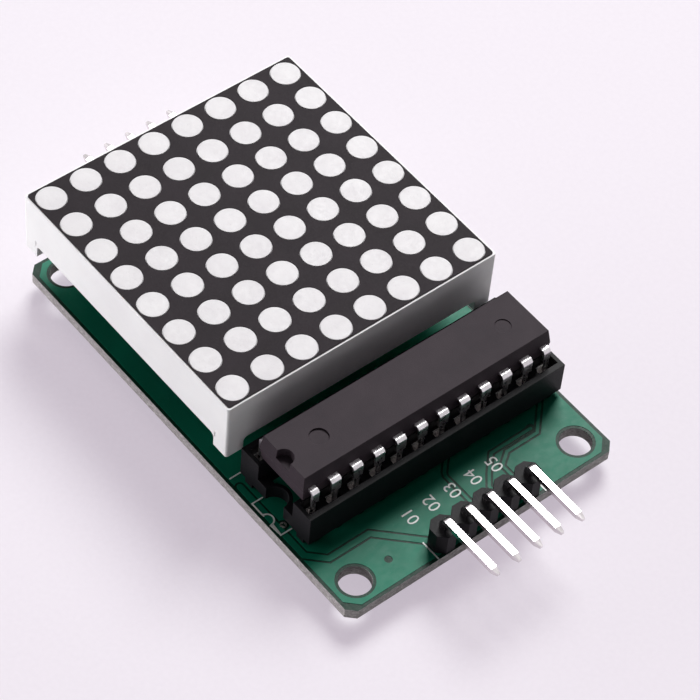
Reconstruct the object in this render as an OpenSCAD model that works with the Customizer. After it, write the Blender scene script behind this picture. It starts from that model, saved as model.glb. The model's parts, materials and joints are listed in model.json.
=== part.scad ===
// Driver module for an 8 by 8 LED dot matrix display.
// X runs along the board towards the input header, Y across it and Z up. The origin lies under
// the middle of the board, at the level of the trimmed pin tails that the module stands on.

/* [Board] */
// Length of the circuit board
board_l = 50; // [49:0.5:60]
// Width of the circuit board
board_w = 32; // [31.5:0.5:45]
// Thickness of the circuit board
board_t = 1.2; // [0.8:0.1:2]
// Length cut off each corner of the board along each side
board_corner = 0.85; // [0.1:0.05:1.5]
// Diameter of the mounting holes
mount_d = 3.2; // [2.2:0.1:3.4]
// Distance from a mounting hole's centre to the end of the board
mount_end = 2.7; // [2.3:0.05:3]
// Distance from a mounting hole's centre to the side of the board
mount_side = 2.7; // [2.3:0.05:3]
// How far the trimmed tails stand out below the board
tail_drop = 1.5; // [1.2:0.1:3]
// Play all round between a tail and its drilled hole
drill_play = 0.12; // [0.05:0.01:0.2]

/* [Solder] */
// Height of a solder fillet below the board
solder_h = 1.1; // [0.6:0.1:1.2]
// Thickness of the solder round a tail at the tip of its fillet
solder_tip = 0.1; // [0.05:0.01:0.2]
// Width of the solder's foot outside its tip
solder_foot = 0.35; // [0.2:0.05:0.4]
// Radius of the hollow flank of a solder fillet
solder_flank = 2; // [1.5:0.1:4]

/* [Display] */
// Dots along each side of the display
dots = 8; // [6:1:8]
// Spacing of the dots
dot_pitch = 4; // [3.9:0.05:4.2]
// Diameter of a dot at the face
dot_d = 2.95; // [2.5:0.05:3.1]
// Diameter of a dot at the foot of its reflector well
dot_foot_d = 2.1; // [1.5:0.1:2.4]
// Plain border of the face outside the outermost dots
dot_border = 0.375; // [0.3:0.025:1]
// Gap between a dot and its well
resin_gap = 0.02; // [0.01:0.01:0.03]
// Gap between a dot and the printed face round it
print_gap = 0.07; // [0.04:0.01:0.1]
// Thickness of the printed face
print_t = 0.1; // [0.05:0.01:0.2]
// Width of the bare rim round the printed face
print_rim = 0.2; // [0.1:0.05:0.3]
// Height of the display from its feet to its face
display_h = 7.1; // [6.8:0.1:9]
// Height of the corner feet
foot_h = 1.5; // [1:0.1:2]
// Length of a corner foot along each wall
foot_l = 1.95; // [1.5:0.05:4]
// Radius between a foot and the arched edge of a wall
foot_fillet = 0.5; // [0.2:0.1:0.9]
// Thickness of the display's walls
display_wall = 1; // [0.8:0.1:1.4]
// Radius of the display's upright edges
display_edge = 0.25; // [0.1:0.05:0.5]
// Depth of the reflector wells
well_depth = 3.9; // [3.2:0.1:4]
// Thickness of the board inside the display
substrate_t = 0.8; // [0.5:0.1:0.8]
// Play round the board inside the display
substrate_play = 0.1; // [0.05:0.05:0.2]
// Thickness of the resin that seals the display's back
potting_t = 0.6; // [0.4:0.1:0.8]
// Width of an LED die
die_w = 0.4; // [0.2:0.05:0.6]
// Height of an LED die
die_h = 0.2; // [0.1:0.05:0.3]
// Width of a mould mark beside a foot
mark_w = 0.15; // [0.1:0.05:0.3]
// Height of a mould mark
mark_h = 0.75; // [0.4:0.05:1]
// Depth of a mould mark
mark_depth = 0.15; // [0.05:0.05:0.3]
// How far the display overhangs the end of the board
display_overhang = 0.4; // [0:0.1:1]
// Gap between the display's feet and the board
display_gap = 3.2; // [3.2:0.1:5]
// Distance between the display's two rows of pins
display_row_span = 24; // [22:0.1:24.5]
// Diameter of a display pin
display_pin_d = 0.5; // [0.4:0.05:0.6]
// Length of a display pin below the resin
display_pin_l = 3.4; // [3:0.1:3.8]

/* [Pin rows] */
// Spacing of the pins in every row
pitch = 2.54; // [2.5:0.01:2.54]
// Play round a pin or lead in a moulding
pin_play = 0.03; // [0.02:0.01:0.08]
// Half width of a contact pocket across its row
pocket_half = 0.65; // [0.6:0.05:0.75]
// Length of a contact pocket along its row
pocket_l = 1.5; // [1.3:0.1:1.9]
// Thickness of the floor under the contacts
pocket_floor = 0.4; // [0.3:0.1:0.6]
// Thickness of a contact leaf
leaf_t = 0.15; // [0.1:0.01:0.2]
// Width of a contact leaf along its row
leaf_w = 1.15; // [0.8:0.05:1.25]
// Thickness of the strap that joins the two leaves
strap_t = 0.2; // [0.15:0.05:0.3]
// Distance from a leaf's tip down to its grip
leaf_mouth = 0.8; // [0.6:0.1:1]
// Length of a leaf's grip
leaf_grip = 0.3; // [0.2:0.1:0.5]
// Width of a contact tail along its row
tail_w = 0.5; // [0.4:0.05:0.6]
// Thickness of a contact tail
tail_t = 0.25; // [0.2:0.05:0.3]

/* [Matrix sockets] */
// Pins in each row of the display
matrix_ways = 8; // [6:1:9]
// Thickness of the skin over the contacts of a matrix socket
socket_skin = 0.6; // [0.4:0.1:0.8]
// Width of the mouth of a matrix socket's entry
entry_mouth = 1.3; // [1:0.1:1.5]

/* [Chip] */
// Leads along each side of the chip
chip_ways = 12; // [10:1:12]
// Distance between the chip's two rows of leads
chip_row_span = 7.62; // [7.62:0.01:8]
// Width of the chip's body at its parting line
chip_w = 6.4; // [6:0.1:6.6]
// How much shorter the chip's body is than its socket
chip_trim = 0.98; // [0.5:0.02:1.2]
// Thickness of the chip's body
chip_t = 3.3; // [3:0.1:3.6]
// How far each side of the body leans in at its top and bottom
chip_draft = 0.24; // [0.1:0.02:0.4]
// Gap between the chip's body and its socket
chip_seat = 0.2; // [0.1:0.1:0.8]
// Sideways place of the chip from the middle of the board
chip_y = 0.7; // [0:0.1:0.75]
// Radius of the notch in the chip's end
notch_r = 0.95; // [0.6:0.05:1.2]
// Depth of the notch in the chip's end
notch_depth = 1; // [0.4:0.1:1.2]
// Radius of the round mark beside pin one
dimple_r = 0.95; // [0.5:0.05:1.1]
// Depth of the round mark beside pin one
dimple_depth = 0.15; // [0.05:0.05:0.3]
// Distance from the chip's notched end to the round mark
dimple_end = 4; // [3:0.1:5]
// Radius of the mould mark at the chip's plain end
mould_r = 0.8; // [0.5:0.05:1]
// Depth of the mould mark at the chip's plain end
mould_depth = 0.08; // [0.04:0.02:0.2]
// Distance from the chip's plain end to its mould mark
mould_end = 3.1; // [2:0.1:4]
// Thickness of a lead
lead_t = 0.25; // [0.2:0.01:0.3]
// Width of a lead's shoulder
shoulder_w = 1.1; // [0.9:0.05:1.5]
// Width of a lead's leg
leg_w = 0.46; // [0.4:0.02:0.5]
// Width of a lead's tip
leg_tip_w = 0.3; // [0.2:0.05:0.4]
// Length of the narrowed end of a lead
leg_tip_l = 0.4; // [0.2:0.1:0.8]
// Drop from the parting line to the foot of the shoulder
shoulder_drop = 1.5; // [1.2:0.1:1.7]
// Outer radius of a lead's bend
lead_bend = 0.4; // [0.3:0.05:0.5]
// Length of lead held inside the body
lead_stub = 0.6; // [0.4:0.1:1]
// Gap between a lead's tip and the strap of its contact
lead_tip_gap = 0.4; // [0.3:0.1:0.8]

/* [Chip socket] */
// Height of the chip socket above the board
chip_socket_h = 4.3; // [4.2:0.1:5]
// Height of the chip socket's stand-off feet
standoff = 0.6; // [0.4:0.1:0.7]
// Gap between the display and the chip socket
chip_socket_gap = 0.57; // [0.3:0.01:1.5]
// Thickness of the outer wall of a rail
rail_outer = 0.6; // [0.5:0.05:0.62]
// Thickness of the inner wall of a rail
rail_inner = 0.4; // [0.3:0.05:0.6]
// Depth of the channel along the top of a rail
channel_depth = 1.1; // [0.8:0.1:1.3]
// Thickness of the wall at each end of a channel
channel_end = 0.4; // [0.3:0.1:0.5]
// Thickness of the socket's end bars
bar_t = 1; // [0.8:0.1:1.4]
// Height of the socket's end bars
bar_h = 1.6; // [1.2:0.1:2.4]
// Width of the socket's cross bars
cross_w = 1.4; // [1:0.1:2]
// Height of the socket's cross bars
cross_h = 1.2; // [0.8:0.1:1.6]
// Radius of the index notch in the socket's end bar
index_r = 1.3; // [0.8:0.1:1.6]
// Thickness of the wall round the index notch
index_wall = 0.35; // [0.3:0.05:0.6]
// Side of a stand-off foot
standoff_w = 1; // [0.8:0.1:1.2]

/* [Headers] */
// Pins in each header
header_ways = 5; // [3:1:6]
// Distance from a header's pins to the end of the board
header_inset = 1.35; // [0.95:0.05:1.6]
// Sideways place of the input header
input_y = 0.8; // [-2:0.1:2]
// Sideways place of the output header
output_y = 0.3; // [-2:0.1:2]
// Side of a header pin
pin_side = 0.64; // [0.5:0.01:0.64]
// Height of a header strip
strip_h = 2.54; // [2:0.01:2.6]
// Height of the pins' level run above the board
pin_rise = 3.55; // [3.5:0.05:3.7]
// Reach of the pins past the end of the board
pin_reach = 6.15; // [4:0.05:9]
// Outer radius of a header pin's bend
pin_bend = 0.9; // [0.8:0.05:1]
// Length of the tapered tip of a header pin
pin_taper = 0.7; // [0.4:0.1:1.2]
// Side of a header pin at its very tip
pin_tip = 0.3; // [0.2:0.05:0.4]

/* [Supply capacitor] */
// Diameter of the capacitor's can
can_d = 4; // [3.5:0.1:4.4]
// Length of the capacitor's can
can_l = 7; // [5:0.1:8]
// Radius of the can's closed edge
can_edge = 0.4; // [0.2:0.1:0.8]
// Radius of the crimped groove round the can
crimp_r = 0.3; // [0.2:0.05:0.4]
// Distance from the can's mouth to the groove
crimp_end = 1.3; // [1.1:0.1:2]
// Depth of the rubber bung
bung_l = 0.9; // [0.6:0.1:0.9]
// Thickness of the can's wall at its mouth
can_wall = 0.35; // [0.3:0.05:0.5]
// Spacing of the capacitor's leads
can_lead_gap = 1.5; // [1.2:0.1:2]
// Distance from the can's mouth to the bend of its leads
can_reach = 1.6; // [1.2:0.1:3]
// Distance from the display's middle to the can's closed end
can_back = 9; // [8:0.1:10]
// Sideways place of the capacitor
can_y = 4; // [3:0.1:6]

/* [Small parts] */
// Diameter of the leads of the small parts
wire_d = 0.5; // [0.4:0.05:0.6]
// Radius of a bend in a lead, at the middle of the wire
wire_bend = 0.6; // [0.5:0.05:0.9]
// Diameter of the ceramic capacitor
disc_d = 4; // [3:0.1:4.2]
// Thickness of the ceramic capacitor
disc_t = 2; // [1.6:0.1:2.6]
// Height of the ceramic capacitor above the board
disc_lift = 0.5; // [0.3:0.1:0.6]
// Spacing of the ceramic capacitor's leads
disc_lead_gap = 2.54; // [2:0.01:2.54]
// Depth that a lead enters the ceramic capacitor
disc_lead_in = 1; // [0.8:0.1:1.2]
// Distance from the display's middle to the ceramic capacitor
disc_x = 10; // [9:0.1:12]
// Sideways place of the ceramic capacitor
disc_y = 4; // [0:0.1:6]
// Diameter of the resistor's end caps
resistor_d = 2.3; // [1.8:0.1:2.6]
// Diameter of the resistor's middle
resistor_waist = 2; // [1.5:0.1:2.2]
// Length of the resistor
resistor_l = 6.2; // [5:0.1:7]
// Length of a resistor end cap
resistor_cap = 1.3; // [0.8:0.1:1.8]
// Spacing of the resistor's lead holes
resistor_span = 10.16; // [9:0.01:12]
// Distance from the display's middle to the resistor
resistor_x = 4.5; // [4:0.1:6]
// Sideways place of the resistor
resistor_y = -2; // [-3:0.1:2]

/* [Hidden] */
$fn = 48;
// Overshoot that lets a cut clear the face it opens
cut = 0.1;

board_top = tail_drop + board_t;

// Display
display_w = (dots - 1) * dot_pitch + dot_d + 2 * dot_border;
display_x = display_w / 2 - display_overhang - board_l / 2;
display_foot = board_top + display_gap;
display_top = display_foot + display_h;
shell_top = display_top - print_t;
well_foot = display_top - well_depth;
substrate_foot = well_foot - substrate_t;
potting_foot = substrate_foot - potting_t;
arch_z = display_foot + foot_h;
cavity_w = display_w - 2 * display_wall;
display_pin_tip = potting_foot - display_pin_l;

// Matrix sockets reach up to the back of the display
matrix_socket_h = potting_foot - board_top;
matrix_strap = board_top + pocket_floor;
matrix_leaf_top = potting_foot - socket_skin;

// Chip and its socket
chip_socket_w = chip_row_span + pitch;
chip_socket_l = chip_ways * pitch;
chip_socket_top = board_top + chip_socket_h;
chip_x = display_x + display_w / 2 + chip_socket_gap + chip_socket_w / 2;
rail_foot = board_top + standoff;
rail_gap = chip_row_span - pitch;
channel_z = chip_socket_top - channel_depth;
chip_strap = rail_foot + pocket_floor;
chip_l = chip_socket_l - chip_trim;
chip_foot = chip_socket_top + chip_seat;
chip_top = chip_foot + chip_t;
parting_z = chip_foot + chip_t / 2;
lead_drop = parting_z - chip_strap - strap_t - lead_tip_gap;

// Headers
header_x = board_l / 2 - header_inset;
pin_z = board_top + pin_rise;
octagon_r = pitch / 2 / cos(180 / 8);

// Small parts
can_axis = board_top + can_d / 2;
can_mouth_x = display_x - can_back + can_l;
can_hole_x = can_mouth_x + can_reach;
disc_axis = board_top + disc_lift + disc_d / 2;
resistor_axis = board_top + resistor_d / 2;

// Half diagonals of the tails that pass through the board
pin_half = norm([pin_side, pin_side]) / 2;
tail_half = norm([tail_w, tail_t]) / 2;

rows = ["left", "right"];
pin_numbers = [1:header_ways];

// Place of item i of n along a centred row
function along(i, n, step) = (i - (n - 1) / 2) * step;

// -1 for the left row of a pair, 1 for the right row
function side(row) = row == rows[0] ? -1 : 1;

// ---- Shared shapes ----

// Square with rounded corners, centred
module rounded_square(w, r) {
    square([w, w - 2 * r], center = true);
    square([w - 2 * r, w], center = true);
    for (x = [-1, 1], y = [-1, 1])
        translate([x, y] * (w / 2 - r)) circle(r);
}

// Box centred in X and Y that stands on z = 0
module block(w, l, h) {
    translate([-w / 2, -l / 2, 0]) cube([w, l, h]);
}

// Children repeated along Y on the row's pitch
module along_row(n) {
    for (i = [0:n - 1])
        translate([0, along(i, n, pitch), 0]) children();
}

// Children repeated along X under the display, on one of its two rows of pins
module matrix_row(row) {
    translate([display_x, side(row) * display_row_span / 2, 0])
        rotate([0, 0, 90]) along_row(matrix_ways) children();
}

// Children repeated along one row of the chip, turned so that +X faces away from the chip
module chip_row(row) {
    translate([chip_x + side(row) * chip_row_span / 2, chip_y, 0])
        along_row(chip_ways) mirror([side(row) < 0 ? 1 : 0, 0, 0]) children();
}

// Children repeated along a header; end is 1 for the input end and -1 for the output end
module header_row(end) {
    translate([end * header_x, end > 0 ? input_y : output_y, 0])
        along_row(header_ways) mirror([end < 0 ? 1 : 0, 0, 0]) children();
}

// Flat strip bent down through a right angle: it runs along +X and then drops, all below y = 0
module elbow(reach, drop, t, r) {
    translate([0, -t]) square([reach - r, t]);
    translate([reach - t, -drop]) square([t, drop - r]);
    translate([reach - r, -r]) difference() {
        intersection() {
            circle(r);
            square(r);
        }
        circle(r - t);
    }
}

// Round wire that runs along +X from the origin and then bends down to the given depth
module bent_wire(reach, drop) {
    rotate([0, 90, 0]) cylinder(h = reach - wire_bend, d = wire_d);
    translate([reach - wire_bend, 0, -wire_bend]) rotate([90, 0, 0])
        rotate_extrude(angle = 90) translate([wire_bend, 0]) circle(d = wire_d);
    translate([reach, 0, -drop]) cylinder(h = drop - wire_bend, d = wire_d);
}

// Hollow-flanked solder fillet under the board, round a tail of the given half diagonal
module solder_fillet(tail_r) {
    tip_r = tail_r + solder_tip;
    foot_r = tip_r + solder_foot;
    chord = norm([solder_foot, solder_h]);
    out = sqrt(solder_flank * solder_flank - chord * chord / 4);
    centre = [(tip_r + foot_r) / 2 + out * solder_h / chord, solder_h / 2 - out * solder_foot / chord];
    translate([0, 0, tail_drop - solder_h]) rotate_extrude() difference() {
        square([foot_r, solder_h]);
        translate(centre) circle(solder_flank, $fn = 96);
    }
}

// Solder fillet round a flat contact tail, whose width runs along Y
module solder_tail() {
    difference() {
        solder_fillet(tail_half);
        block(tail_t, tail_w, board_top);
    }
}

// Solder fillet round a square header pin
module solder_pin() {
    difference() {
        solder_fillet(pin_half);
        block(pin_side, pin_side, board_top);
    }
}

// Solder fillet round a wire
module solder_wire() {
    difference() {
        solder_fillet(wire_d / 2 + pin_play);
        cylinder(h = board_top, d = wire_d + 2 * pin_play);
    }
}

// Twin-leaf contact: two leaves that grip a pin, on a strap with a solder tail below it
module twin_leaf_contact(strap_z, leaf_top, grip) {
    root = pocket_half - leaf_t;
    grip_top = leaf_top - leaf_mouth;
    rotate([90, 0, 0]) linear_extrude(leaf_w, center = true) {
        translate([-pocket_half, strap_z]) square([2 * pocket_half, strap_t]);
        for (s = [0, 1]) mirror([s, 0]) polygon([
            [root, strap_z], [grip, grip_top - leaf_grip], [grip, grip_top], [root, leaf_top],
            [root + leaf_t, leaf_top], [grip + leaf_t, grip_top],
            [grip + leaf_t, grip_top - leaf_grip], [root + leaf_t, strap_z]
        ]);
    }
    block(tail_t, tail_w, strap_z);
}

// ---- Board ----

module board_outline() {
    x = board_l / 2;
    y = board_w / 2;
    c = board_corner;
    polygon([
        [-x + c, -y], [x - c, -y], [x, -y + c], [x, y - c],
        [x - c, y], [-x + c, y], [-x, y - c], [-x, -y + c]
    ]);
}

module circuit_board() {
    color("#2f7a5c") translate([0, 0, tail_drop]) linear_extrude(board_t) difference() {
        board_outline();
        for (x = [-1, 1], y = [-1, 1])
            translate([x * (board_l / 2 - mount_end), y * (board_w / 2 - mount_side)]) circle(d = mount_d);
        for (row = rows) {
            matrix_row(row) circle(tail_half + drill_play, $fn = 24);
            chip_row(row) circle(tail_half + drill_play, $fn = 24);
        }
        for (end = [-1, 1]) header_row(end) circle(pin_half + drill_play, $fn = 24);
        small_part_leads() circle(wire_d / 2 + drill_play, $fn = 24);
    }
}

// Children repeated where each lead of the small parts passes through the board
module small_part_leads() {
    for (s = [-1, 1]) {
        translate([can_hole_x, can_y + s * can_lead_gap / 2]) children();
        translate([display_x + disc_x, disc_y + s * disc_lead_gap / 2]) children();
        translate([display_x + resistor_x, resistor_y + s * resistor_span / 2]) children();
    }
}

// ---- Display ----

// Children repeated at each dot of the display
module dot_grid() {
    for (i = [0:dots - 1], j = [0:dots - 1])
        translate([display_x + along(i, dots, dot_pitch), along(j, dots, dot_pitch), 0]) children();
}

// Resin of one dot, tapering down its well and standing flush with the printed face; its well
// is the same shape, wider by the given gap
module dot_resin(gap = 0) {
    translate([0, 0, well_foot])
        cylinder(h = shell_top - well_foot, d1 = dot_foot_d + 2 * gap, d2 = dot_d + 2 * gap);
    translate([0, 0, shell_top]) cylinder(h = print_t, d = dot_d + 2 * gap);
}

// Opening under one pair of walls, between the corner feet, with filleted upper corners
module foot_arch() {
    w = display_w - 2 * foot_l;
    rotate([90, 0, 0]) linear_extrude(display_w + 2 * cut, center = true) {
        translate([-w / 2, display_foot - cut]) square([w, foot_h + cut - foot_fillet]);
        translate([foot_fillet - w / 2, display_foot]) square([w - 2 * foot_fillet, foot_h]);
        for (s = [-1, 1])
            translate([s * (w / 2 - foot_fillet), arch_z - foot_fillet]) circle(foot_fillet);
    }
}

// Pair of thin upright mould marks beside the feet of one wall
module mould_marks() {
    for (s = [-1, 1])
        translate([s * (display_w / 2 - foot_l + mark_w), -display_w / 2, arch_z - mark_h / 4])
            block(mark_w, 2 * mark_depth, mark_h);
}

module display_shell() {
    color("#f2eff0") difference() {
        translate([display_x, 0, display_foot])
            linear_extrude(shell_top - display_foot) rounded_square(display_w, display_edge);
        translate([display_x, 0, display_foot - cut]) block(cavity_w, cavity_w, well_foot - display_foot + cut);
        translate([display_x, 0, 0]) {
            foot_arch();
            rotate([0, 0, 90]) foot_arch();
            mould_marks();
            rotate([0, 0, 180]) mould_marks();
        }
        dot_grid() dot_resin(resin_gap);
    }
}

module display_face() {
    color("#3c3338") translate([0, 0, shell_top]) linear_extrude(print_t) difference() {
        translate([display_x, 0]) rounded_square(display_w - 2 * print_rim, display_edge);
        dot_grid() circle(dot_d / 2 + print_gap);
    }
}

// Block of one LED die on the board inside the display
module die_block() {
    translate([0, 0, well_foot]) block(die_w, die_w, die_h);
}

module display_dots() {
    color("#f4f2f2") difference() {
        dot_grid() dot_resin();
        dot_grid() die_block();
    }
}

module led_dies() {
    color("#c9a227") dot_grid() die_block();
}

module display_substrate() {
    w = cavity_w - 2 * substrate_play;
    color("#d8cfa8") difference() {
        translate([display_x, 0, substrate_foot]) block(w, w, substrate_t);
        for (row = rows) matrix_row(row) display_pin_hole();
    }
}

module display_potting() {
    color("#e9e4d6") difference() {
        translate([display_x, 0, potting_foot]) block(cavity_w, cavity_w, potting_t);
        for (row = rows) matrix_row(row) display_pin_hole();
    }
}

module display_pin_hole() {
    translate([0, 0, potting_foot - cut])
        cylinder(h = potting_t + substrate_t + 2 * cut, d = display_pin_d + 2 * pin_play);
}

module display_pins(row) {
    color("silver") matrix_row(row) translate([0, 0, display_pin_tip])
        cylinder(h = well_foot - display_pin_tip, d = display_pin_d);
}

// ---- Sockets under the display ----

module matrix_socket(row) {
    color("#1d1b1e") difference() {
        translate([display_x, side(row) * display_row_span / 2, board_top])
            block(matrix_ways * pitch, pitch, matrix_socket_h);
        matrix_row(row) {
            translate([0, 0, matrix_strap]) block(2 * pocket_half, pocket_l, matrix_leaf_top - matrix_strap);
            block(tail_t, tail_w, board_top + matrix_socket_h);
            translate([0, 0, matrix_leaf_top]) cylinder(
                h = socket_skin + cut,
                d1 = display_pin_d + 2 * drill_play,
                d2 = entry_mouth
            );
        }
    }
}

module matrix_contacts(row) {
    color("#d9d3c2") matrix_row(row)
        twin_leaf_contact(matrix_strap, matrix_leaf_top, display_pin_d / 2 + pin_play);
}

// ---- Chip ----

// Six-sided section of a moulding that leans in above and below its parting line
module draft_section(w) {
    half = w / 2;
    lean = half - chip_draft;
    polygon([
        [-lean, -chip_t / 2], [lean, -chip_t / 2], [half, 0],
        [lean, chip_t / 2], [-lean, chip_t / 2], [-half, 0]
    ]);
}

// How far lead i's shoulder reaches towards -Y (s = -1) or +Y (s = 1): end leads stop at their leg
function shoulder_reach(i, s) =
    (s < 0 && i == 0) || (s > 0 && i == chip_ways - 1) ? leg_w / 2 : shoulder_w / 2;

// Front view of lead i, drawn from the parting line down
module lead_front(i) {
    low = shoulder_reach(i, -1);
    high = shoulder_reach(i, 1);
    polygon([
        [-low, lead_t], [-low, -shoulder_drop], [-leg_w / 2, -shoulder_drop],
        [-leg_w / 2, leg_tip_l - lead_drop], [-leg_tip_w / 2, -lead_drop],
        [leg_tip_w / 2, -lead_drop], [leg_w / 2, leg_tip_l - lead_drop],
        [leg_w / 2, -shoulder_drop], [high, -shoulder_drop], [high, lead_t]
    ]);
}

// Distance from the inner end of a lead to the outer face of its leg
lead_run = chip_row_span / 2 + lead_t / 2 - chip_w / 2 + lead_stub;

// Lead i of a row, with its leg on the row's line and its stub towards -X
module chip_lead(i) {
    translate([0, 0, parting_z]) intersection() {
        rotate([90, 0, 0]) linear_extrude(pitch, center = true)
            translate([lead_t / 2 - lead_run, lead_t / 2])
                elbow(lead_run, lead_drop + lead_t / 2, lead_t, lead_bend);
        rotate([90, 0, 90]) linear_extrude(2 * lead_run, center = true) lead_front(i);
    }
}

// Slot that lead i's stub fills in the chip's body
module stub_slot(i) {
    low = shoulder_reach(i, -1);
    translate([lead_t / 2 - lead_run, -low, parting_z - lead_t / 2])
        cube([lead_run, low + shoulder_reach(i, 1), lead_t]);
}

// Children placed at lead i of a chip row
module at_lead(row, i) {
    translate([chip_x + side(row) * chip_row_span / 2, chip_y + along(i, chip_ways, pitch), 0])
        mirror([side(row) < 0 ? 1 : 0, 0, 0]) children();
}

module chip_leads(row) {
    color("#c8c8ca") for (i = [0:chip_ways - 1]) at_lead(row, i) chip_lead(i);
}

module chip_body() {
    end = chip_l / 2 - chip_draft;
    color("#4c444a") difference() {
        translate([chip_x, chip_y, parting_z]) intersection() {
            rotate([90, 0, 0]) linear_extrude(chip_l, center = true) draft_section(chip_w);
            rotate([90, 0, 90]) linear_extrude(chip_w, center = true) draft_section(chip_l);
        }
        translate([chip_x, chip_y - end, chip_top - notch_depth]) cylinder(h = notch_depth + cut, r = notch_r);
        translate([chip_x, chip_y - end + dimple_end, chip_top - dimple_depth])
            cylinder(h = dimple_depth + cut, r = dimple_r);
        translate([chip_x, chip_y + end - mould_end, chip_top - mould_depth])
            cylinder(h = mould_depth + cut, r = mould_r);
        for (row = rows, i = [0:chip_ways - 1]) at_lead(row, i) stub_slot(i);
    }
}

// ---- Chip socket ----

// Rail of the chip socket, its outer wall towards +X, with a channel along its top
module socket_rail() {
    difference() {
        translate([0, 0, rail_foot]) block(pitch, chip_socket_l, chip_socket_top - rail_foot);
        translate([rail_inner - pitch / 2, channel_end - chip_socket_l / 2, channel_z])
            cube([pitch - rail_inner - rail_outer, chip_socket_l - 2 * channel_end, channel_depth + cut]);
    }
}

// Stand-off feet at the ends of a rail
module rail_feet() {
    for (s = [-1, 1])
        translate([0, s * (chip_socket_l - standoff_w) / 2, board_top]) block(standoff_w, standoff_w, standoff);
}

module chip_socket() {
    bar_y = (chip_socket_l - bar_t) / 2;
    color("#242226") difference() {
        union() {
            for (s = [0, 1]) translate([chip_x, chip_y, 0]) mirror([s, 0, 0])
                    translate([chip_row_span / 2, 0, 0]) {
                socket_rail();
                rail_feet();
            }
            translate([chip_x, chip_y, rail_foot]) {
                for (s = [-1, 1]) {
                    translate([0, s * bar_y, 0]) block(rail_gap, bar_t, bar_h);
                    translate([0, s * chip_socket_l / 6, 0]) block(rail_gap, cross_w, cross_h);
                }
                intersection() {
                    translate([0, -chip_socket_l / 2, 0]) cylinder(h = bar_h, r = index_r + index_wall);
                    block(rail_gap, chip_socket_l, bar_h);
                }
            }
        }
        translate([chip_x, chip_y - chip_socket_l / 2, rail_foot - cut])
            cylinder(h = bar_h + 2 * cut, r = index_r);
        for (row = rows) chip_row(row) {
            translate([0, 0, chip_strap]) block(2 * pocket_half, pocket_l, chip_socket_h);
            block(tail_t, tail_w, chip_socket_top);
        }
    }
}

module chip_contacts(row) {
    color("#dcdcdc") chip_row(row) twin_leaf_contact(chip_strap, channel_z, lead_t / 2);
}

// ---- Headers ----

// Square rod along +X from the origin, tapered at its far end
module tapered_rod(length) {
    intersection() {
        linear_extrude(pin_side, center = true) rod_outline(length);
        rotate([90, 0, 0]) linear_extrude(pin_side, center = true) rod_outline(length);
    }
}

module rod_outline(length) {
    half = pin_side / 2;
    tip = pin_tip / 2;
    polygon([
        [0, -half], [length - pin_taper, -half], [length, -tip],
        [length, tip], [length - pin_taper, half], [0, half]
    ]);
}

// Header pin that rises through the board and its strip and bends outward over the strip
module bent_pin() {
    middle = pin_bend - pin_side / 2;
    translate([middle, 0, pin_z]) tapered_rod(header_inset + pin_reach - middle);
    translate([0, 0, pin_z - middle]) rotate([0, 90, 0]) tapered_rod(pin_z - middle);
    translate([middle, 0, pin_z - middle]) rotate([90, 0, 0])
        linear_extrude(pin_side, center = true) difference() {
            intersection() {
                circle(pin_bend);
                translate([-pin_bend, 0]) square(pin_bend);
            }
            circle(pin_bend - pin_side);
        }
}

// Children placed at pin number i of a header
module at_header_pin(end, i) {
    translate([end * header_x, (end > 0 ? input_y : output_y) + along(i - 1, header_ways, pitch), 0])
        mirror([end < 0 ? 1 : 0, 0, 0]) children();
}

module header_pin(end, i) {
    color("#e6e2e2") at_header_pin(end, i) bent_pin();
}

// Moulded strip of eight-sided segments, one round each pin
module header_strip(end) {
    color("#2b282c") translate([0, 0, board_top]) linear_extrude(strip_h) difference() {
        header_row(end) rotate(180 / 8) circle(octagon_r, $fn = 8);
        header_row(end) square(pin_side, center = true);
    }
}

// ---- Supply capacitor, lying under the display ----

module capacitor_can() {
    r = can_d / 2;
    color("#1f3a5c") translate([can_mouth_x, can_y, can_axis]) rotate([0, -90, 0]) difference() {
        rotate_extrude() difference() {
            union() {
                square([r, can_l - can_edge]);
                square([r - can_edge, can_l]);
                translate([r - can_edge, can_l - can_edge]) circle(can_edge);
            }
            translate([r + crimp_r / 3, crimp_end]) circle(crimp_r);
        }
        translate([0, 0, -cut]) cylinder(h = bung_l + cut, r = r - can_wall);
    }
}

module capacitor_bung() {
    color("#222222") difference() {
        translate([can_mouth_x - bung_l, can_y, can_axis]) rotate([0, 90, 0])
            cylinder(h = bung_l, r = can_d / 2 - can_wall - pin_play);
        for (s = [-1, 1])
            translate([can_mouth_x - bung_l - cut, can_y + s * can_lead_gap / 2, can_axis]) rotate([0, 90, 0])
                cylinder(h = bung_l + 2 * cut, d = wire_d + 2 * pin_play);
    }
}

module capacitor_leads() {
    color("silver") for (s = [-1, 1])
        translate([can_mouth_x - bung_l, can_y + s * can_lead_gap / 2, can_axis])
            bent_wire(bung_l + can_reach, can_axis);
}

// ---- Ceramic capacitor and resistor ----

module ceramic_capacitor() {
    r = disc_t / 2;
    color("#c9922b") difference() {
        translate([display_x + disc_x, disc_y, disc_axis]) rotate([0, 90, 0]) rotate_extrude() {
            translate([0, -r]) square([disc_d / 2 - r, disc_t]);
            translate([disc_d / 2 - r, 0]) intersection() {
                circle(r);
                translate([0, -r]) square([r, disc_t]);
            }
        }
        for (s = [-1, 1])
            translate([display_x + disc_x, disc_y + s * disc_lead_gap / 2, 0])
                cylinder(h = board_top + disc_lift + disc_lead_in + pin_play, d = wire_d + 2 * pin_play);
    }
}

module ceramic_leads() {
    color("silver") for (s = [-1, 1])
        translate([display_x + disc_x, disc_y + s * disc_lead_gap / 2, 0])
            cylinder(h = board_top + disc_lift + disc_lead_in, d = wire_d);
}

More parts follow.
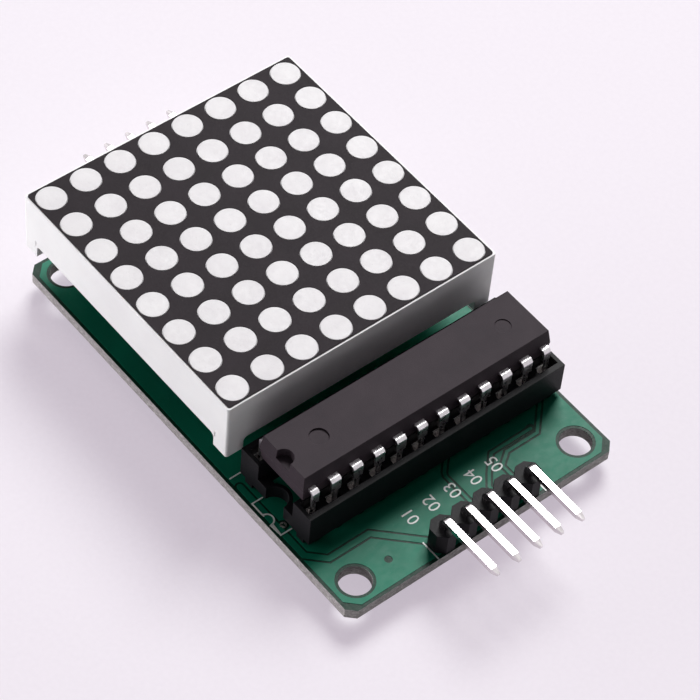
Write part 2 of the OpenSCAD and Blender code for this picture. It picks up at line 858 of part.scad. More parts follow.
module resistor_body() {
    color("#d2b48c") translate([display_x + resistor_x, resistor_y, resistor_axis]) rotate([90, 0, 0]) {
        translate([0, 0, -resistor_l / 2]) cylinder(h = resistor_l, d = resistor_waist);
        for (s = [-1, 1])
            translate([0, 0, s * (resistor_l - resistor_cap) / 2])
                cylinder(h = resistor_cap, d = resistor_d, center = true);
    }
}

module resistor_leads() {
    color("silver") for (s = [0, 1])
        translate([display_x + resistor_x, resistor_y, 0]) mirror([0, s, 0])
            translate([0, resistor_l / 2, resistor_axis]) rotate([0, 0, 90])
                bent_wire((resistor_span - resistor_l) / 2, resistor_axis);
}

// ---- Solder ----

module solder_matrix(row) {
    color("#b9bcc0") matrix_row(row) solder_tail();
}

module solder_chip(row) {
    color("#b9bcc0") chip_row(row) solder_tail();
}

module solder_header(end) {
    color("#b9bcc0") header_row(end) solder_pin();
}

module solder_small_parts() {
    color("#b9bcc0") small_part_leads() solder_wire();
}

circuit_board();
display_shell();
display_face();
display_dots();
led_dies();
display_substrate();
display_potting();
chip_body();
chip_socket();
header_strip(1);  // input_strip
header_strip(-1);  // output_strip
capacitor_can();
capacitor_bung();
capacitor_leads();
ceramic_capacitor();
ceramic_leads();
resistor_body();
resistor_leads();
solder_header(1);  // solder_input
solder_header(-1);  // solder_output
solder_small_parts();
for (row = rows) {
    display_pins(row);
    matrix_socket(row);
    matrix_contacts(row);
    chip_leads(row);
    chip_contacts(row);
    solder_matrix(row);
    solder_chip(row);
}
for (i = pin_numbers) {
    header_pin(1, i);
    header_pin(-1, i);
}
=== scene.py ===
"""Looks of the display driver module: materials, printing, tracks, light and camera."""

import json
import math

import bmesh
import bpy
from mathutils import Matrix, Vector

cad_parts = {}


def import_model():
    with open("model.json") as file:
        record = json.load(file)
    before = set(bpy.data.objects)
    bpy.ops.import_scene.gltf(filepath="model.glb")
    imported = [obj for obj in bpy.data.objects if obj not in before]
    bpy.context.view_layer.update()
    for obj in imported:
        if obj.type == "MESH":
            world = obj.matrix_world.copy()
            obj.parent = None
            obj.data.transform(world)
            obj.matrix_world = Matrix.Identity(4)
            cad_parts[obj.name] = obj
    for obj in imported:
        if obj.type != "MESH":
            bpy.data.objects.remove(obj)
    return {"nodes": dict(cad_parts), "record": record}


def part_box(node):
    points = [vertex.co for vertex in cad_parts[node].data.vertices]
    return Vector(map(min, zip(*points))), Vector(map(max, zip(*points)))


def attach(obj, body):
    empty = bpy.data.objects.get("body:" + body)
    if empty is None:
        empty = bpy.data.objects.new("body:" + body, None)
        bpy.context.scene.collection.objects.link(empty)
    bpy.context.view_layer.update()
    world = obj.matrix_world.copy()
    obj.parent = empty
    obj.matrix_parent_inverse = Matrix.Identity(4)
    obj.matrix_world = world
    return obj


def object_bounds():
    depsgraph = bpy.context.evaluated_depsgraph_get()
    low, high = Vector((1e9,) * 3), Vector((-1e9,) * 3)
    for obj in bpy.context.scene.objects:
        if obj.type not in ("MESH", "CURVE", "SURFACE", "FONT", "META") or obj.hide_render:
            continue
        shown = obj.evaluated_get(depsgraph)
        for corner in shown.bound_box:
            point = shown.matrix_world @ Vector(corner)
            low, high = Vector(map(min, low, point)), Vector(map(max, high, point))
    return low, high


MM = 0.001

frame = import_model()
CAD_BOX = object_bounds()
LOW, HIGH = CAD_BOX


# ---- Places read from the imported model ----

def islands(node):
    """Boxes, as (low, high), of the separate solids in a CAD node."""
    bm = bmesh.new()
    bm.from_mesh(frame["nodes"][node].data)
    bmesh.ops.remove_doubles(bm, verts=bm.verts, dist=1e-7)
    seen = set()
    boxes = []
    for start in bm.verts:
        if start.index in seen:
            continue
        seen.add(start.index)
        stack = [start]
        low = start.co.copy()
        high = start.co.copy()
        while stack:
            v = stack.pop()
            low = Vector(map(min, low, v.co))
            high = Vector(map(max, high, v.co))
            for e in v.link_edges:
                w = e.other_vert(v)
                if w.index not in seen:
                    seen.add(w.index)
                    stack.append(w)
        boxes.append((low, high))
    bm.free()
    return boxes


def centres(node):
    """Middle points in X and Y of a CAD node's solids, in order along Y and then X."""
    found = [((a.x + b.x) / 2, (a.y + b.y) / 2) for a, b in islands(node)]
    return sorted(found, key=lambda p: (round(p[1], 5), p[0]))


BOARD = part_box("circuit_board")
BOARD_TOP = BOARD[1].z
BOARD_UNDER = BOARD[0].z
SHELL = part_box("display_shell")
HOLES = next(m for m in frame["record"]["mounts"] if m["name"] == "mounting_holes")
HOLE_R = HOLES["dims"]["hole_r_mm"] * MM
HOLE_AT = [
    (sx * HOLES["dims"]["spacing_x_mm"] * MM / 2, sy * HOLES["dims"]["spacing_y_mm"] * MM / 2)
    for sx in (-1, 1) for sy in (-1, 1)
]
CHIP_PADS = {side: centres("solder_chip_" + side) for side in ("left", "right")}
MATRIX_PADS = {side: centres("solder_matrix_" + side) for side in ("left", "right")}
INPUT_PADS = centres("solder_input")
OUTPUT_PADS = centres("solder_output")
SMALL_PADS = centres("solder_small_parts")


# ---- Material building blocks ----

def srgb(r, g, b):
    """Linear colour of a screen colour given as 0 to 255."""
    def lin(c):
        c /= 255
        return c / 12.92 if c <= 0.04045 else ((c + 0.055) / 1.055) ** 2.4
    return (lin(r), lin(g), lin(b), 1)


class Paint:
    """A procedural material and the nodes that feed it."""

    def __init__(self, name, roughness=0.5, metallic=0.0, **plain):
        self.mat = bpy.data.materials.new(name)
        self.mat.use_nodes = True
        self.nodes = self.mat.node_tree.nodes
        self.links = self.mat.node_tree.links
        self.shader = self.nodes["Principled BSDF"]
        self.shader.inputs["Roughness"].default_value = roughness
        self.shader.inputs["Metallic"].default_value = metallic
        for key, value in plain.items():
            self.shader.inputs[key.replace("_", " ")].default_value = value
        self.coords = self.nodes.new("ShaderNodeTexCoord").outputs["Object"]
        self.heights = []

    def node(self, kind, **settings):
        n = self.nodes.new(kind)
        for key, value in settings.items():
            setattr(n, key, value)
        return n

    def place(self, scale=(1, 1, 1), shift=(0, 0, 0), turn=(0, 0, 0)):
        """Object coordinates, stretched, shifted and turned."""
        n = self.node("ShaderNodeMapping")
        n.inputs["Scale"].default_value = scale
        n.inputs["Location"].default_value = shift
        n.inputs["Rotation"].default_value = turn
        self.links.new(self.coords, n.inputs["Vector"])
        return n.outputs["Vector"]

    def noise(self, grain_mm, detail=3.0, roughness=0.55, vector=None):
        """Noise whose grain is about the given size."""
        n = self.node("ShaderNodeTexNoise")
        n.inputs["Scale"].default_value = 1 / (grain_mm * MM)
        n.inputs["Detail"].default_value = detail
        n.inputs["Roughness"].default_value = roughness
        self.links.new(vector or self.coords, n.inputs["Vector"])
        return n.outputs["Fac"]

    def ramp(self, value, stops, interpolation="LINEAR"):
        """Colour ramp over a value; stops are (position, colour)."""
        n = self.node("ShaderNodeValToRGB")
        n.color_ramp.interpolation = interpolation
        elements = n.color_ramp.elements
        while len(elements) < len(stops):
            elements.new(0.5)
        for e, (at, colour) in zip(elements, stops):
            e.position = at
            e.color = colour if len(colour) == 4 else (*colour, 1)
        self.links.new(value, n.inputs["Fac"])
        return n.outputs["Color"]

    def level(self, value, low, high, at=(0, 1)):
        """Value remapped from the range at to the range low..high, and kept inside it."""
        n = self.node("ShaderNodeMapRange")
        n.inputs["From Min"].default_value = at[0]
        n.inputs["From Max"].default_value = at[1]
        n.inputs["To Min"].default_value = low
        n.inputs["To Max"].default_value = high
        self.links.new(value, n.inputs["Value"])
        return n.outputs["Result"]

    def maths(self, operation, a, b=None):
        n = self.node("ShaderNodeMath", operation=operation)
        for socket, v in zip(n.inputs, (a, b)):
            if isinstance(v, (int, float)):
                socket.default_value = v
            elif v is not None:
                self.links.new(v, socket)
        return n.outputs["Value"]

    def mix(self, factor, a, b):
        n = self.node("ShaderNodeMix", data_type="RGBA")
        for key, v in (("Factor", factor), ("A", a), ("B", b)):
            socket = next(i for i in n.inputs if i.name == key and i.enabled)
            if isinstance(v, tuple):
                socket.default_value = v
            else:
                self.links.new(v, socket)
        return next(o for o in n.outputs if o.enabled)

    def axis(self, which, of="Object"):
        """One component of the object coordinates, or of the surface normal."""
        if of == "Object":
            vector = self.coords
        else:
            vector = self.node("ShaderNodeNewGeometry").outputs["Normal"]
        n = self.node("ShaderNodeSeparateXYZ")
        self.links.new(vector, n.inputs[0])
        return n.outputs[which]

    def colour(self, socket):
        self.links.new(socket, self.shader.inputs["Base Color"])

    def rough(self, socket):
        self.links.new(socket, self.shader.inputs["Roughness"])

    def relief(self, height, depth_mm, strength=1.0):
        """Adds a layer of bumps of the given depth."""
        self.heights.append((height, depth_mm * MM, strength))

    def done(self, edge_mm=0.0):
        """Joins the bump layers, over edges softened by the given radius, and returns the material."""
        normal = None
        if edge_mm:
            bevel = self.node("ShaderNodeBevel", samples=6)
            bevel.inputs["Radius"].default_value = edge_mm * MM
            normal = bevel.outputs["Normal"]
        for height, depth, strength in self.heights:
            n = self.node("ShaderNodeBump")
            n.inputs["Strength"].default_value = strength
            n.inputs["Distance"].default_value = depth
            self.links.new(height, n.inputs["Height"])
            if normal:
                self.links.new(normal, n.inputs["Normal"])
            normal = n.outputs["Normal"]
        if normal:
            self.links.new(normal, self.shader.inputs["Normal"])
        return self.mat


def varied(name, low, high, grain_mm, rough=(0.4, 0.5), relief_mm=0.0, fine_mm=0.0, edge_mm=0.0, **plain):
    """Plain moulded or coated surface: colour between two shades, uneven gloss and fine relief."""
    p = Paint(name, **plain)
    cloud = p.noise(grain_mm, 4)
    p.colour(p.ramp(cloud, [(0.3, low), (0.7, high)]))
    fine = p.noise(fine_mm or grain_mm / 8, 3)
    p.rough(p.level(fine, *rough, at=(0.3, 0.7)))
    if relief_mm:
        p.relief(fine, relief_mm)
    return p.done(edge_mm)


# ---- Materials ----

def mask_green(name, low, high):
    """Solder mask: satin green film with faint weave and dust."""
    p = Paint(name, Specular_IOR_Level=0.12)
    cloud = p.noise(5, 4)
    flat = p.ramp(cloud, [(0.3, low), (0.7, high)])
    dust = p.ramp(p.noise(0.16, 2), [(0.66, (0, 0, 0)), (0.78, (0.2, 0.2, 0.2))])
    p.colour(p.mix(dust, flat, srgb(130, 170, 155)))
    weave = p.noise(0.5, 2, vector=p.place(scale=(1, 0.6, 1)))
    p.rough(p.level(weave, 0.36, 0.44, at=(0.3, 0.7)))
    p.relief(weave, 0.004)
    return p


def board_paint():
    """Bare mask on the faces, and cut glass laminate round the edge and in the holes."""
    p = mask_green("mask_over_laminate", srgb(1, 40, 28), srgb(3, 50, 36))
    face = p.maths("ABSOLUTE", p.axis("Z", "Normal"))
    is_face = p.maths("GREATER_THAN", face, 0.5)
    fibres = p.noise(0.35, 4, 0.7, p.place(scale=(1, 1, 5)))
    cut = p.ramp(fibres, [
        (0.3, srgb(112, 106, 107)), (0.5, srgb(162, 155, 157)), (0.7, srgb(220, 215, 217)),
    ])
    green = p.shader.inputs["Base Color"].links[0].from_socket
    p.colour(p.mix(is_face, cut, green))
    gloss = p.shader.inputs["Roughness"].links[0].from_socket
    cut_rough = 0.75
    on_cut = p.maths("SUBTRACT", cut_rough, p.maths("MULTIPLY", cut_rough, is_face))
    p.rough(p.maths("ADD", p.maths("MULTIPLY", gloss, is_face), on_cut))
    p.relief(fibres, 0.03)
    return p.done()


def metal(name, tint, rough, grain_mm=0.6, stretch=(1, 1, 1), relief_mm=0.01, spots=0.0):
    """Tin, nickel or solder: bright, with fine drawing marks and faint dull spots."""
    p = Paint(name, metallic=1.0)
    marks = p.noise(grain_mm, 4, 0.6, p.place(scale=stretch))
    dull = tuple(c * 0.78 for c in tint[:3])
    p.colour(p.ramp(marks, [(0.3, dull), (0.7, tint[:3])]))
    p.rough(p.level(marks, rough[0], rough[1], at=(0.3, 0.7)))
    p.relief(marks, relief_mm)
    if spots:
        p.relief(p.noise(spots, 2), relief_mm * 3)
    return p.done()


def resistor_paint():
    """Blue lacquer with plain colour bands round it."""
    p = Paint("resistor_lacquer", roughness=0.3, Coat_Weight=0.4)
    low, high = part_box("resistor_body")
    along = p.level(p.axis("Y"), 0, 1, at=(low.y, high.y))
    body = srgb(120, 168, 196)
    bands = [(0.0, body), (0.1, srgb(110, 70, 40)), (0.17, body), (0.3, srgb(20, 20, 22)),
             (0.37, body), (0.47, srgb(20, 20, 22)), (0.54, body), (0.64, srgb(190, 40, 35)),
             (0.71, body), (0.85, srgb(110, 70, 40)), (0.92, body)]
    p.colour(p.ramp(along, bands, "CONSTANT"))
    p.relief(p.noise(0.5, 2), 0.02)
    return p.done()


def can_paint():
    """Dark sleeve with a pale stripe along one side; bare metal at the closed end."""
    p = Paint("can_sleeve", roughness=0.35)
    low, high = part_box("capacitor_can")
    side = p.level(p.axis("Z"), 0, 1, at=(low.z, high.z))
    stripes = [(0.0, srgb(22, 26, 44)), (0.78, srgb(28, 34, 56)), (0.8, srgb(170, 172, 176))]
    sleeve = p.ramp(side, stripes, "CONSTANT")
    ends = p.maths("GREATER_THAN", p.maths("ABSOLUTE", p.axis("X", "Normal")), 0.8)
    p.colour(p.mix(ends, sleeve, srgb(190, 190, 192)))
    p.relief(p.noise(0.6, 3), 0.02)
    return p.done()


def shell_paint():
    """White moulding with flow clouding, faint scuffs and softened edges."""
    p = Paint("white_moulding", Subsurface_Weight=0.12, Subsurface_Scale=0.6 * MM)
    p.shader.inputs["Subsurface Radius"].default_value = (1.0, 0.9, 0.85)
    cloud = p.noise(6, 4)
    scuff = p.noise(0.5, 5, 0.7, p.place(scale=(0.25, 0.25, 1.6)))
    flat = p.ramp(cloud, [(0.3, srgb(232, 229, 232)), (0.7, srgb(240, 238, 240))])
    worn = p.ramp(scuff, [(0.62, (0, 0, 0)), (0.8, (0.4, 0.4, 0.4))])
    p.colour(p.mix(worn, flat, srgb(205, 200, 203)))
    p.rough(p.level(p.noise(0.3, 3), 0.38, 0.55, at=(0.3, 0.7)))
    p.relief(p.noise(0.25, 3), 0.01)
    return p.done(0.08)


def ink_paint():
    """Black printed face: dull ink with a fine grain and a few pale specks."""
    p = Paint("black_print", Specular_IOR_Level=0.08)
    grain = p.noise(0.12, 3)
    flat = p.ramp(p.noise(4, 4), [(0.3, srgb(33, 27, 31)), (0.7, srgb(40, 33, 38))])
    specks = p.ramp(p.noise(0.2, 2), [(0.7, (0, 0, 0)), (0.8, (0.5, 0.5, 0.5))])
    p.colour(p.mix(specks, flat, srgb(96, 84, 90)))
    p.rough(p.level(grain, 0.5, 0.65, at=(0.3, 0.7)))
    p.relief(grain, 0.008)
    return p.done()


def resin_paint():
    """Milky cast resin of the dots, with faint clouding and fine pits."""
    p = Paint("cast_resin", Subsurface_Weight=0.25, Subsurface_Scale=0.8 * MM, Specular_IOR_Level=0.15)
    p.shader.inputs["Subsurface Radius"].default_value = (1.0, 0.95, 0.95)
    flat = p.ramp(p.noise(3, 4), [(0.3, srgb(222, 218, 221)), (0.7, srgb(231, 228, 230))])
    pits = p.ramp(p.noise(0.22, 2), [(0.26, (0.35, 0.35, 0.35)), (0.36, (0, 0, 0))])
    p.colour(p.mix(pits, flat, srgb(196, 190, 194)))
    p.rough(p.level(p.noise(0.4, 3), 0.3, 0.48, at=(0.3, 0.7)))
    p.relief(p.noise(0.5, 3), 0.015)
    return p.done()


def moulding_paint(name, low, high, rough, edge_mm):
    """Black or grey filled moulding: sparkle grain, flow clouding and softened edges."""
    p = Paint(name, Specular_IOR_Level=0.1)
    grain = p.noise(0.1, 3, 0.6)
    flat = p.ramp(p.noise(3, 4), [(0.3, low), (0.7, high)])
    sparkle = p.ramp(grain, [(0.64, (0, 0, 0)), (0.78, (0.12, 0.12, 0.12))])
    p.colour(p.mix(sparkle, flat, srgb(120, 112, 118)))
    p.rough(p.level(grain, *rough, at=(0.3, 0.7)))
    p.relief(grain, 0.01)
    return p.done(edge_mm)


def silk_paint():
    """White legend ink, a little worn."""
    p = Paint("legend_ink", roughness=0.6)
    thin = p.ramp(p.noise(0.15, 3), [(0.3, (0.5, 0.5, 0.5)), (0.42, (0, 0, 0))])
    p.colour(p.mix(thin, srgb(238, 240, 238), srgb(190, 205, 198)))
    p.relief(p.noise(0.1, 2), 0.01)
    return p.done()


TIN = srgb(232, 229, 231)
paints = {
    "solder_mask": board_paint(),
    "white_moulding": shell_paint(),
    "black_print": ink_paint(),
    "cast_resin": resin_paint(),
    "led_die": varied("led_die", srgb(180, 150, 80), srgb(205, 175, 100), 0.2, (0.2, 0.3), 0.005),
    "laminate": varied("laminate", srgb(206, 196, 158), srgb(222, 214, 180), 1.0, (0.5, 0.7), 0.02),
    "potting_resin": varied(
        "potting_resin", srgb(226, 221, 208), srgb(238, 234, 224), 3.0, (0.15, 0.3), 0.03, 1.2
    ),
    "tinned_lead": metal("tinned_lead", TIN, (0.24, 0.34), 0.5, relief_mm=0.003),
    "plated_pin": metal("plated_pin", srgb(240, 235, 236), (0.16, 0.28), 0.3, (0.15, 1, 1), 0.003),
    "contact_metal": metal("contact_metal", srgb(234, 231, 228), (0.24, 0.36), 0.3, relief_mm=0.003),
    "chip_moulding": moulding_paint("chip_moulding", srgb(48, 40, 46), srgb(56, 47, 53), (0.5, 0.65), 0.06),
    "black_moulding": moulding_paint("black_moulding", srgb(10, 10, 13), srgb(16, 15, 18), (0.4, 0.55), 0.05),
    "can_sleeve": can_paint(),
    "rubber_bung": varied("rubber_bung", srgb(22, 22, 22), srgb(36, 36, 36), 0.6, (0.7, 0.85), 0.02),
    "ceramic_dip": varied("ceramic_dip", srgb(190, 128, 44), srgb(208, 148, 60), 1.2, (0.25, 0.4), 0.03),
    "resistor_coat": resistor_paint(),
    "solder": metal("solder", srgb(206, 208, 212), (0.14, 0.3), 0.5, spots=0.35),
}
for entry in frame["record"]["subparts"]:
    data = frame["nodes"][entry["node"]].data
    data.materials.clear()
    data.materials.append(paints[entry["material_slot"]])

copper_paint = mask_green("mask_over_copper", srgb(3, 106, 82), srgb(7, 118, 92)).done()
pad_paint = metal("pad_tin", srgb(200, 198, 190), (0.2, 0.36), 0.4)
legend_paint = silk_paint()


# ---- Thin pieces on the board ----

def piece(name, mesh, paint):
    """Adds a mesh to the part as its own piece."""
    obj = bpy.data.objects.new(name, mesh)
    bpy.context.scene.collection.objects.link(obj)
    mesh.materials.clear()
    mesh.materials.append(paint)
    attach(obj, "root")
    return obj


def prism(bm, outline, low, high, holes=()):
    """Adds an upright prism with the given outline, and round or other holes, to a mesh."""
    loops = [outline, *holes]
    rings = []
    edges = []
    for loop in loops:
        ring = [bm.verts.new((x, y, low)) for x, y in loop]
        rings.append(ring)
        edges += [bm.edges.new((ring[i], ring[(i + 1) % len(ring)])) for i in range(len(ring))]
    made = bmesh.ops.triangle_fill(bm, edges=edges, use_beauty=True, use_dissolve=False)
    faces = [g for g in made["geom"] if isinstance(g, bmesh.types.BMFace)]
    grown = bmesh.ops.extrude_face_region(bm, geom=faces)
    lifted = [g for g in grown["geom"] if isinstance(g, bmesh.types.BMVert)]
    bmesh.ops.translate(bm, verts=lifted, vec=(0, 0, high - low))


def finish_mesh(bm, name):
    bmesh.ops.recalc_face_normals(bm, faces=bm.faces)
    mesh = bpy.data.meshes.new(name)
    bm.to_mesh(mesh)
    bm.free()
    return mesh


def ring_points(x, y, r, n=32):
    """Outline of a circle."""
    turns = [2 * math.pi * i / n for i in range(n)]
    return [(x + r * math.cos(t), y + r * math.sin(t)) for t in turns]


def stroke(points, width):
    """Closed outline of a line of the given width through the points: mitred corners, round ends."""
    pts = [Vector(p) for p in points]
    left, right = [], []
    for i, p in enumerate(pts):
        before = (p - pts[i - 1]).normalized() if i else (pts[1] - p).normalized()
        after = (pts[i + 1] - p).normalized() if i < len(pts) - 1 else before
        normal = Vector((-(before + after).y, (before + after).x)).normalized()
        reach = width / 2 / max(0.4, normal.dot(Vector((-before.y, before.x))))
        left.append(p + normal * reach)
        right.append(p - normal * reach)
    caps = []
    for p, d in ((pts[-1], pts[-1] - pts[-2]), (pts[0], pts[0] - pts[1])):
        a = math.atan2(d.y, d.x)
        turns = [a + math.pi / 2 - math.pi * j / 8 for j in range(1, 8)]
        caps.append([(p.x + width / 2 * math.cos(t), p.y + width / 2 * math.sin(t)) for t in turns])
    return [tuple(p) for p in left] + caps[0] + [tuple(p) for p in reversed(right)] + caps[1]


def mm_points(points):
    return [(x * MM, y * MM) for x, y in points]


def layer(name, outlines, low, thickness, paint):
    """Piece made of flat prisms that lie side by side."""
    bm = bmesh.new()
    for outline in outlines:
        if isinstance(outline, dict):
            prism(bm, outline["outline"], low, low + thickness, outline["holes"])
        else:
            prism(bm, outline, low, low + thickness)
    return piece(name, finish_mesh(bm, name), paint)


def cut_plate(name, outline, cutters, low, thickness):
    """Mesh of a thin plate with the cutters' outlines removed from it."""
    def solid(tag, outlines, a, b):
        bm = bmesh.new()
        for o in outlines:
            prism(bm, o, a, b)
        obj = bpy.data.objects.new(tag, finish_mesh(bm, tag))
        bpy.context.scene.collection.objects.link(obj)
        return obj
    plate = solid(name + "_plate", [outline], low, low + thickness)
    tools = []
    for i, c in enumerate(cutters):
        tool = solid(f"{name}_cut_{i}", [c], low - thickness, low + 2 * thickness)
        modifier = plate.modifiers.new(f"cut_{i}", "BOOLEAN")
        modifier.object = tool
        modifier.solver = "EXACT"
        tools.append(tool)
    bpy.context.view_layer.update()
    shaped = bpy.data.meshes.new_from_object(plate.evaluated_get(bpy.context.evaluated_depsgraph_get()))
    for obj in (plate, *tools):
        bpy.data.objects.remove(obj)
    return shaped


COPPER = 0.035 * MM
INK = 0.015 * MM
CHANNEL = 0.22 * MM
BORDER = 0.35 * MM
POUR_CORNER = 1.2 * MM
HOLE_CLEAR = 0.3 * MM


def copper_side(name, tracks, pads, face, out, drawn_pads):
    """Pour with channels round its tracks and pads, on the board's face; out is 1 above it, -1 below."""
    low = face if out > 0 else face - COPPER
    a, b = BOARD
    c = POUR_CORNER
    x0, x1, y0, y1 = a.x + BORDER, b.x - BORDER, a.y + BORDER, b.y - BORDER
    outline = [
        (x0 + c, y0), (x1 - c, y0), (x1, y0 + c), (x1, y1 - c),
        (x1 - c, y1), (x0 + c, y1), (x0, y1 - c), (x0, y0 + c),
    ]
    channels = [stroke(t, w + 2 * CHANNEL) for t, w in tracks]
    channels += [ring_points(x, y, r + CHANNEL) for x, y, r in pads]
    channels += [ring_points(x, y, HOLE_R + HOLE_CLEAR, 48) for x, y in HOLE_AT]
    pour = cut_plate(name + "_pour", outline, channels, low, COPPER)
    piece(name + "_pour", pour, copper_paint)
    if tracks:
        lines = [stroke(t, w) for t, w in tracks]
        layer(name + "_tracks", lines, low, COPPER, copper_paint)
    rings = [
        {"outline": ring_points(x, y, r), "holes": [ring_points(x, y, hole, 24)]}
        for x, y, r, hole in drawn_pads
    ]
    pad_low = face if out > 0 else face - COPPER - INK
    layer(name + "_pads", rings, pad_low, COPPER + INK, pad_paint)


CAP_SHARE = 0.7


def label(text, x, y, height, turn, z):
    """Mesh of plain figures lying on the board, with their middle at x, y."""
    curve = bpy.data.curves.new("figures", "FONT")
    curve.body = text
    curve.size = height / CAP_SHARE
    curve.align_x = "CENTER"
    curve.align_y = "CENTER"
    curve.extrude = INK / 2
    curve.resolution_u = 3
    obj = bpy.data.objects.new("figures", curve)
    bpy.context.scene.collection.objects.link(obj)
    bpy.context.view_layer.update()
    mesh = bpy.data.meshes.new_from_object(obj.evaluated_get(bpy.context.evaluated_depsgraph_get()))
    bpy.data.objects.remove(obj)
    mesh.transform(Matrix.Translation((x, y, z)) @ Matrix.Rotation(turn, 4, "Z"))
    return mesh


def joined(meshes, name):
    bm = bmesh.new()
    for m in meshes:
        bm.from_mesh(m)
        bpy.data.meshes.remove(m)
    return finish_mesh(bm, name)


header_x = INPUT_PADS[0][0]
header_y = [p[1] for p in INPUT_PADS]
SUPPLY_W = 0.62 * MM
SIGNAL_W = 0.3 * MM


def to_pin(points_mm, way, straight_mm):
    """Track through the points that ends with a straight run into an input pin's pad."""
    y = header_y[way]
    return mm_points(points_mm) + [(header_x - straight_mm * MM, y), (header_x, y)]


supply = [(7.85, -15.3), (17.4, -15.3), (19.0, -13.7), (19.0, -9.0), (22.45, -5.55)]
top_tracks = [
    (mm_points(supply) + [(header_x, header_y[0])], SUPPLY_W),
    (to_pin([(18.6, 10.9), (18.6, 6.0), (20.35, 4.25)], 3, 2.2), SIGNAL_W),
    (to_pin([(15.75, 14.65), (17.2, 13.2), (19.35, 11.05), (19.35, 7.3)], 4, 3.3), SIGNAL_W),
    (to_pin([(15.75, 3.0), (17.75, 1.0)], 2, 5.5), SIGNAL_W),
]
top_vias = [(18.6, 10.9, 0.3), (13.6, -14.75, 0.34), (22.25, -9.4, 0.18)]
PLATED_R = 0.85 * MM
PLATED_HOLE = 0.65 * MM
VIA_HOLE = 0.15 * MM
all_pads = [*CHIP_PADS["left"], *CHIP_PADS["right"], *MATRIX_PADS["left"], *MATRIX_PADS["right"]]
all_pads += [*INPUT_PADS, *OUTPUT_PADS, *SMALL_PADS]
via_rings = [(x * MM, y * MM, r * MM) for x, y, r in top_vias]
bare_via = via_rings[1]
copper_side(
    "top", top_tracks,
    [(x, y, PLATED_R) for x, y in all_pads] + via_rings,
    BOARD_TOP, 1,
    [(x, y, PLATED_R, PLATED_HOLE) for x, y in all_pads] + [(*bare_via, VIA_HOLE)],
)

feet = [
    ((a.x + b.x) / 2, (a.y + b.y) / 2, (b.x - a.x) / 2)
    for node in frame["nodes"] if node.startswith("solder_") for a, b in islands(node)
]
pad_rim = 0.14 * MM
copper_side(
    "under", [],
    [(x, y, r + pad_rim) for x, y, r in feet],
    BOARD_UNDER, -1,
    [(x, y, r + pad_rim, r) for x, y, r in feet],
)


def arc(x, y, r, start, sweep, n=12):
    """Points along an arc, both ends included."""
    turns = [start + sweep * i / n for i in range(n + 1)]
    return [(x + r * math.cos(t), y + r * math.sin(t)) for t in turns]


INK_TOP = BOARD_TOP + COPPER
LINE_W = 0.16 * MM
FIGURE_H = 1.25 * MM
FIGURE_BACK = 3.9 * MM
FIGURE_ASIDE = 0.45 * MM


def header_line(y):
    """Printed line from the header's strip to the end of the board."""
    return stroke([(header_x - 0.9 * MM, y), (BOARD[1].x - 0.1 * MM, y)], LINE_W)


header_clear = 1.42 * MM
notch_mark = arc(12.3 * MM, -15.6 * MM, 0.65 * MM, math.pi, -math.pi)
socket_mark = [
    *mm_points([(10.05, -14.4), (10.05, -15.6), (11.65, -15.6)]),
    *notch_mark,
    *mm_points([(12.95, -15.6), (14.38, -15.6), (14.38, -14.4)]),
]
silk = [
    stroke(mm_points([(6.6, -15.5), (6.6, 15.5)]), LINE_W),
    stroke(socket_mark, LINE_W),
    header_line(header_y[0] - header_clear),
    header_line(header_y[-1] + header_clear),
]
layer("legend_lines", silk, INK_TOP, INK, legend_paint)
figures = [
    label(f"{i + 1:02d}", header_x - FIGURE_BACK, y - FIGURE_ASIDE, FIGURE_H, math.pi, INK_TOP + INK / 2)
    for i, y in enumerate(header_y)
]
piece("legend_figures", joined(figures, "legend_figures"), legend_paint)


# ---- Studio ----

def seen(paint):
    """1 for rays that show a surface or reflect it, 0 for rays that only light it."""
    path = paint.node("ShaderNodeLightPath").outputs
    direct = paint.maths("MAXIMUM", path["Is Camera Ray"], path["Is Glossy Ray"])
    return paint.maths("MAXIMUM", direct, path["Is Transmission Ray"])


def floor():
    """Pale floor: it shows a little glow of its own, so that its shadow stays light."""
    p = Paint("pale_floor", roughness=0.9, Specular_IOR_Level=0.0)
    cloth = p.noise(0.5, 3)
    lit = p.ramp(cloth, [(0.3, (0.4, 0.4, 0.4)), (0.7, (0.42, 0.42, 0.42))])
    p.colour(p.mix(seen(p), (0.9, 0.9, 0.9, 1), lit))
    p.shader.inputs["Emission Color"].default_value = (1, 0.88, 1.02, 1)
    p.links.new(p.maths("MULTIPLY", seen(p), 0.5), p.shader.inputs["Emission Strength"])
    bm = bmesh.new()
    half = 3.0
    square = ((-half, -half), (half, -half), (half, half), (-half, half))
    corners = [bm.verts.new((x, y, LOW.z)) for x, y in square]
    bm.faces.new(corners)
    mesh = finish_mesh(bm, "floor")
    obj = bpy.data.objects.new("floor", mesh)
    bpy.context.scene.collection.objects.link(obj)
    mesh.materials.append(p.done())


def lamp(name, azimuth, elevation, distance, size, watts, tint=(1, 1, 1)):
    """Soft lamp of the given width and height, aimed at the part; azimuth 0 is +X, 90 is +Y."""
    data = bpy.data.lights.new(name, "AREA")
    data.shape = "RECTANGLE"
    data.size, data.size_y = size
    data.energy = watts
    data.color = tint
    obj = bpy.data.objects.new(name, data)
    a, e = math.radians(azimuth), math.radians(elevation)
    towards = Vector((math.cos(a) * math.cos(e), math.sin(a) * math.cos(e), math.sin(e)))
    obj.location = (LOW + HIGH) / 2 + towards * distance
    obj.rotation_euler = towards.to_track_quat("Z", "Y").to_euler()
    bpy.context.scene.collection.objects.link(obj)


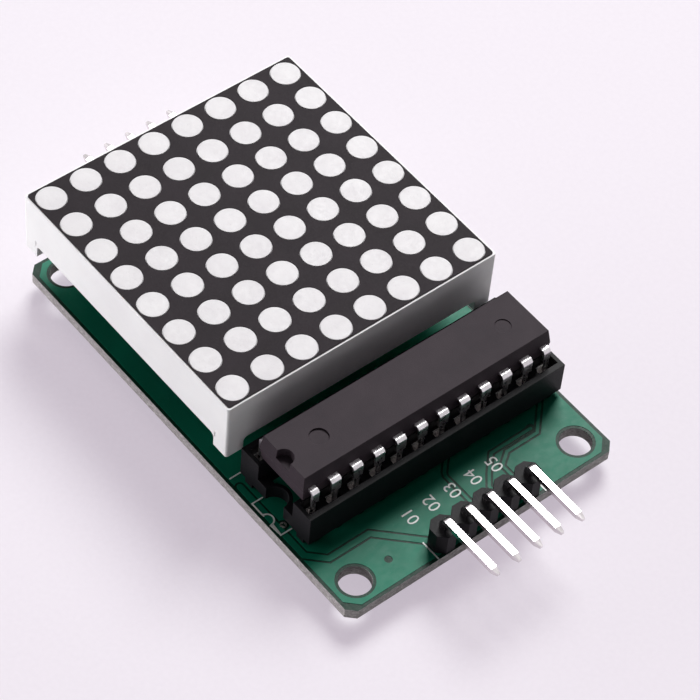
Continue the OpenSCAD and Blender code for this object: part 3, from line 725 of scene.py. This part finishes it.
def world(strength, shown, tint):
    """Even light of the given strength, in a room that looks brighter than it lights."""
    w = bpy.data.worlds.new("studio")
    w.use_nodes = True
    nodes, links = w.node_tree.nodes, w.node_tree.links
    shade = nodes["Background"]
    shade.inputs["Color"].default_value = (*tint, 1)
    path = nodes.new("ShaderNodeLightPath").outputs
    rays = [path["Is Camera Ray"], path["Is Glossy Ray"], path["Is Transmission Ray"]]
    value = rays[0]
    for ray in rays[1:]:
        n = nodes.new("ShaderNodeMath")
        n.operation = "MAXIMUM"
        links.new(value, n.inputs[0])
        links.new(ray, n.inputs[1])
        value = n.outputs["Value"]
    span = nodes.new("ShaderNodeMapRange")
    span.inputs["To Min"].default_value = strength
    span.inputs["To Max"].default_value = shown
    links.new(value, span.inputs["Value"])
    links.new(span.outputs["Result"], shade.inputs["Strength"])
    bpy.context.scene.world = w


def camera():
    """Long lens, looking down over the input header's corner with the frame tipped a little."""
    azimuth, elevation, roll = math.radians(46.7), math.radians(51.09), math.radians(5.74)
    ahead, aside, distance = 16.84 * MM, -2.67 * MM, 0.281
    middle = (SHELL[0] + SHELL[1]) / 2
    aim = Vector((middle.x + ahead, middle.y + aside, HIGH.z))
    back = Vector((
        math.sin(azimuth) * math.cos(elevation),
        -math.cos(azimuth) * math.cos(elevation),
        math.sin(elevation),
    ))
    data = bpy.data.cameras.new("photo_view")
    data.lens = 158.5
    data.sensor_width = 36.0
    data.clip_start = 0.01
    obj = bpy.data.objects.new("photo_view", data)
    obj.matrix_world = Matrix.Translation(aim + back * distance) @ (
        back.to_track_quat("Z", "Y").to_matrix().to_4x4() @ Matrix.Rotation(roll, 4, "Z")
    )
    bpy.context.scene.collection.objects.link(obj)
    bpy.context.scene.camera = obj


floor()
world(0.06, 0.8, (1.0, 0.98, 1.0))
lamp("back_key", 128, 46, 0.9, (0.42, 0.42), 10.2)
lamp("left_fill", 215, 4, 0.6, (0.5, 0.06), 4.0)
camera()
bpy.context.scene.view_settings.view_transform = "Standard"
